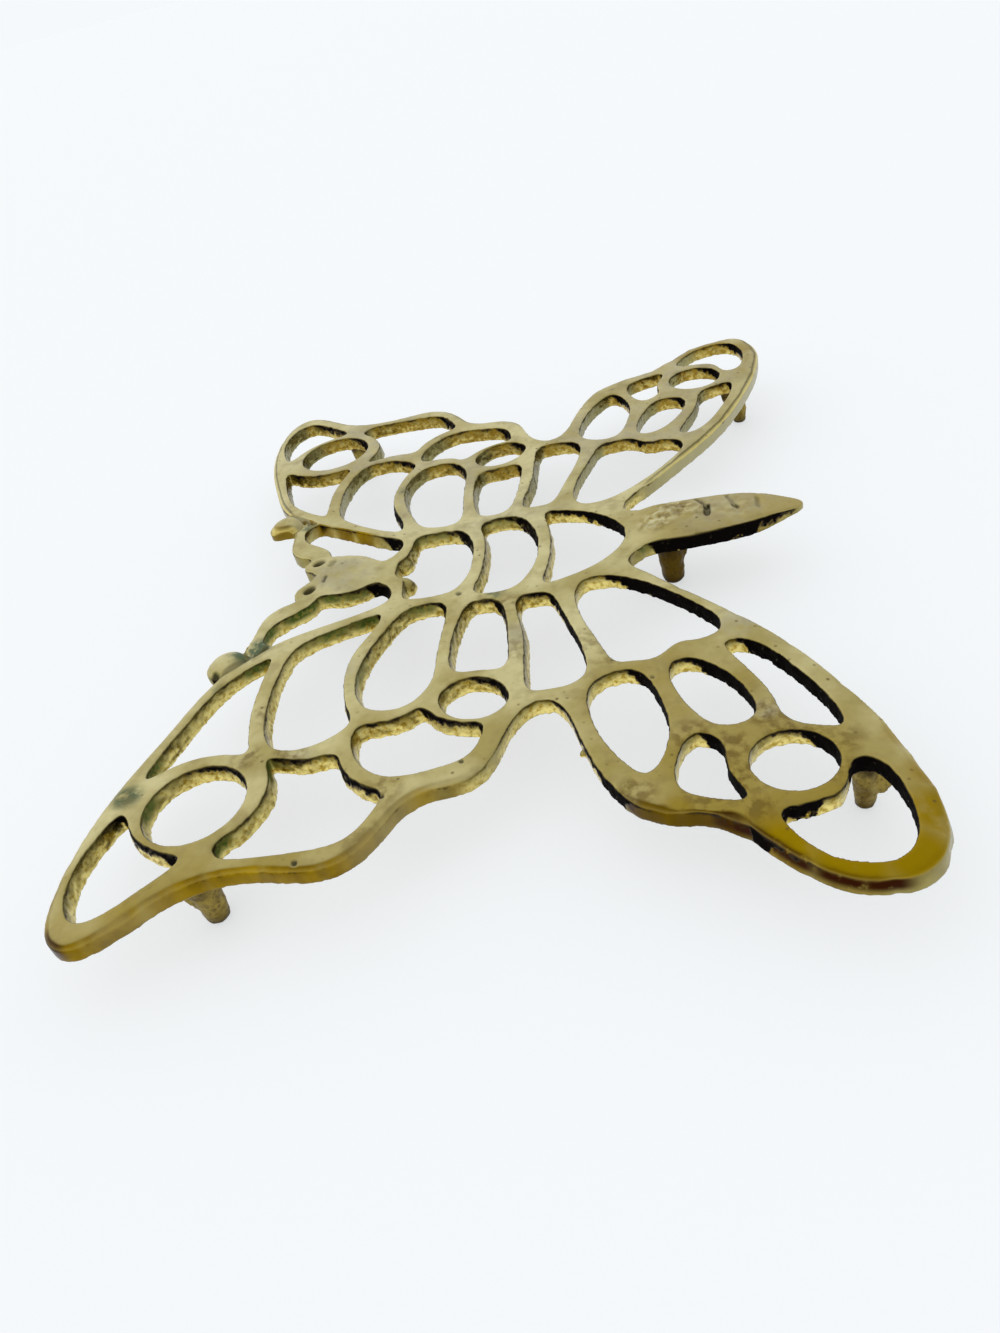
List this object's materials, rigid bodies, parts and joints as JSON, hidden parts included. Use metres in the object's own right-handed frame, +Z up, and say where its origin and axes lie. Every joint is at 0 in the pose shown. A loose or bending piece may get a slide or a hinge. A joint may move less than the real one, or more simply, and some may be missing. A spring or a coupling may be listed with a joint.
{
  "type": "butterfly trivet",
  "caption": "Cast brass trivet: a flat openwork butterfly of ribs and rings on short tapered peg feet, for standing hot dishes on a table.",
  "frame": {"origin": "on the table under the middle of the plate's outline", "axes": "+Z up, +Y towards the butterfly's head, +X towards its right wings"},
  "size_m": [0.242, 0.17, 0.0194],
  "materials": {
    "plate_brass": "ground top, as-cast sides, aged patina",
    "foot_brass": "rough as-cast, browned"
  },
  "bodies": {
    "root": {"left_forewing": "plate_brass", "right_forewing": "plate_brass", "left_hindwing": "plate_brass", "right_hindwing": "plate_brass", "thorax": "plate_brass", "head": "plate_brass", "left_antenna": "plate_brass", "right_antenna": "plate_brass", "abdomen": "plate_brass", "left_fore_foot": "foot_brass", "right_fore_foot": "foot_brass", "left_hind_foot": "foot_brass", "right_hind_foot": "foot_brass", "tail_foot": "foot_brass"}
  },
  "joints": []
}
